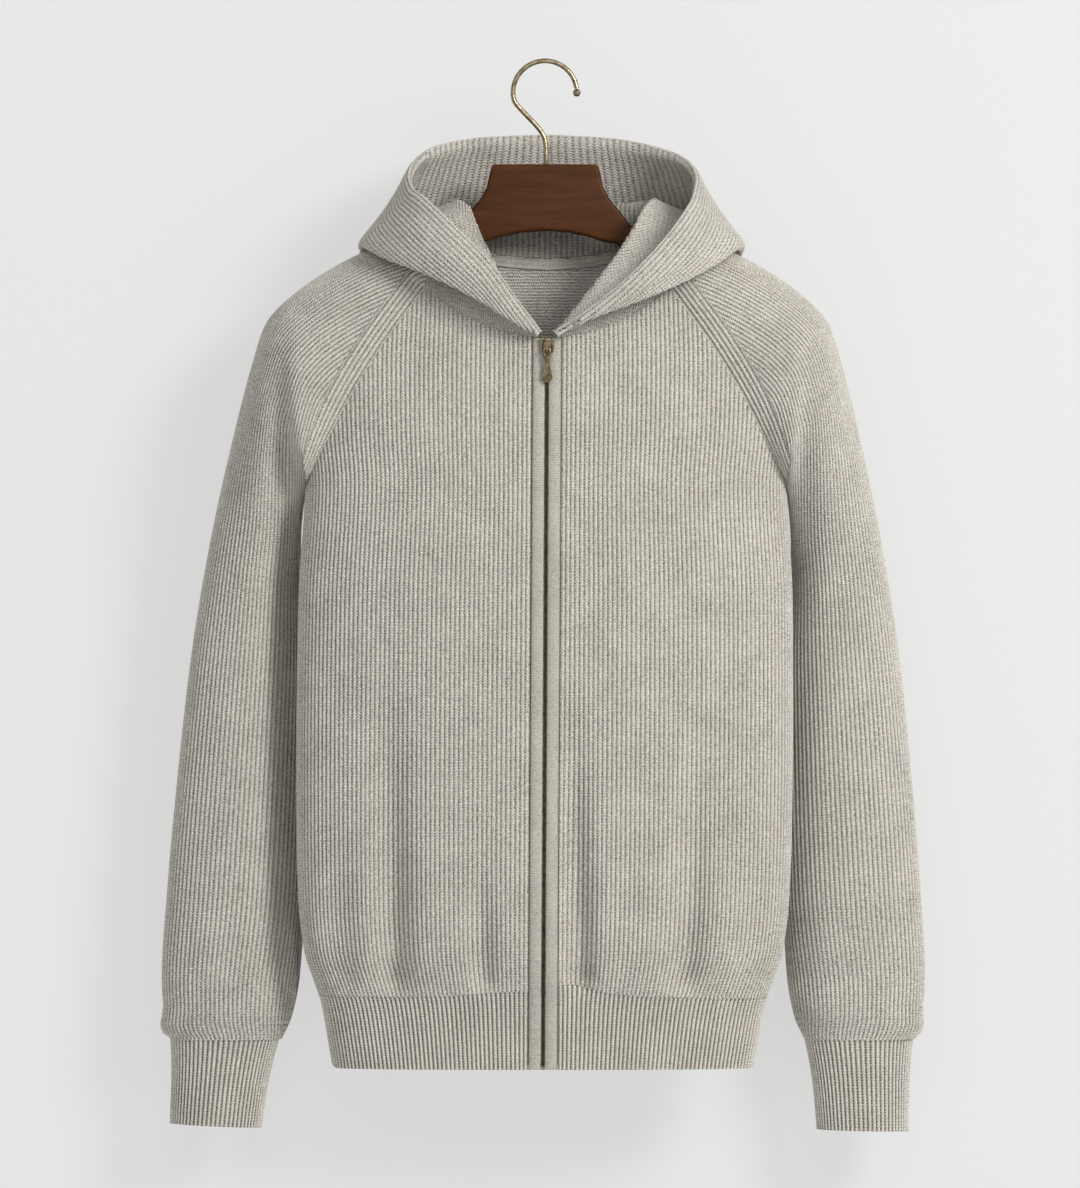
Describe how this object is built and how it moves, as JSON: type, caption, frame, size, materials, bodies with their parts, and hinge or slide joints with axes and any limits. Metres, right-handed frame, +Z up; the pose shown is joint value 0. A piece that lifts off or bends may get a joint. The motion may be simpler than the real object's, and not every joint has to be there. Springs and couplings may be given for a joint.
{
  "type": "hooded zip-front cardigan on a wooden hanger",
  "caption": "Hooded, zip-front, raglan-sleeve ribbed knit cardigan hanging filled out on a dark wooden hanger with a wire hook.",
  "frame": {"origin": "inside top of the hanger's hook, where a rail carries it", "axes": "+Z up, -Y towards the viewer of the cardigan's front, +X to that viewer's right"},
  "size_m": [0.6448, 0.1772, 0.8972],
  "materials": {
    "rib_knit": "wide ribs, light grey-beige mélange, slightly fuzzy",
    "edge_rib": "narrow 1x1 rib",
    "plain_knit": "smooth plain knit",
    "zip_tape": "dark woven tape with metal teeth",
    "aged_brass": "aged, satin",
    "dark_wood": "dark reddish-brown stain, satin"
  },
  "bodies": {
    "garment": {"front_left": "rib_knit", "front_right": "rib_knit", "back": "rib_knit", "sleeve_left": "rib_knit", "sleeve_right": "rib_knit", "hood_left": "rib_knit", "hood_right": "rib_knit", "hood_back": "rib_knit", "cuff_left": "edge_rib", "cuff_right": "edge_rib", "hem_front_left": "edge_rib", "hem_front_right": "edge_rib", "hem_back": "edge_rib", "placket_left": "plain_knit", "placket_right": "plain_knit", "neck_tape": "plain_knit", "zip_left": "zip_tape", "zip_right": "zip_tape", "zip_slider": "aged_brass", "slider_bail": "aged_brass", "hanger_wood": "dark_wood", "hanger_hook": "aged_brass", "hook_ball": "aged_brass"},
    "pull_tab": {"zip_pull": "aged_brass"}
  },
  "joints": [
    {"name": "pull_swing", "type": "hinge", "parent": "garment", "child": "pull_tab", "pos_m": [0.0017, -0.0638, -0.242], "axis": [-1, 0, 0], "range_deg": [0, 150]}
  ]
}
